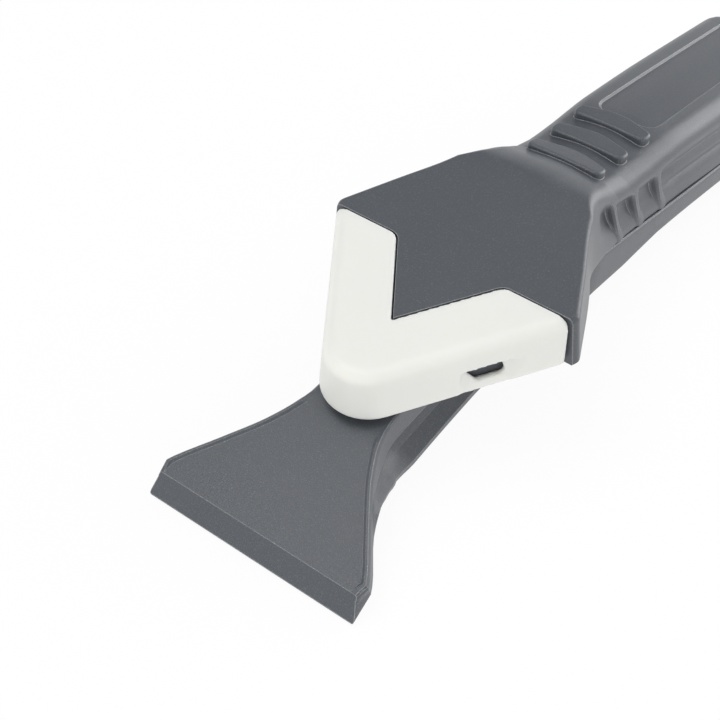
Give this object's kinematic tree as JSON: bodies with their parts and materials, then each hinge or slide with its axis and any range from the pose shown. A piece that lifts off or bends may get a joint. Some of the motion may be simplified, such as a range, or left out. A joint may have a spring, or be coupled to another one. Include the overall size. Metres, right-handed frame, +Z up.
{
  "type": "sealant scraper and joint smoother",
  "caption": "Nested pair of sealant hand tools: a fishtail scraper below and a joint smoother above whose six-sided head carries a removable silicone V pad.",
  "frame": {"origin": "on the table under the middle of the pair's box, with the pair lying on the blade's edge and the handle's butt", "axes": "+X along the handle from the blade to the butt, +Y to the left when looking from the blade to the butt, +Z up from the table"},
  "size_m": [0.2024, 0.0546, 0.0372],
  "materials": {
    "grey_plastic": "satin moulded grain",
    "white_silicone": "smooth, slightly translucent"
  },
  "bodies": {
    "scraper": {"scraper_body": "grey_plastic"},
    "smoother": {"smoother_body": "grey_plastic"},
    "pad": {"silicone_v_pad": "white_silicone"}
  },
  "joints": [
    {"name": "smoother_lift", "type": "slide", "parent": "scraper", "child": "smoother", "axis": [0.1012, 0, 0.9949], "range_m": [0, 0.045]},
    {"name": "pad_pull", "type": "slide", "parent": "smoother", "child": "pad", "axis": [-0.986, 0, -0.1666], "range_m": [0, 0.045]}
  ]
}
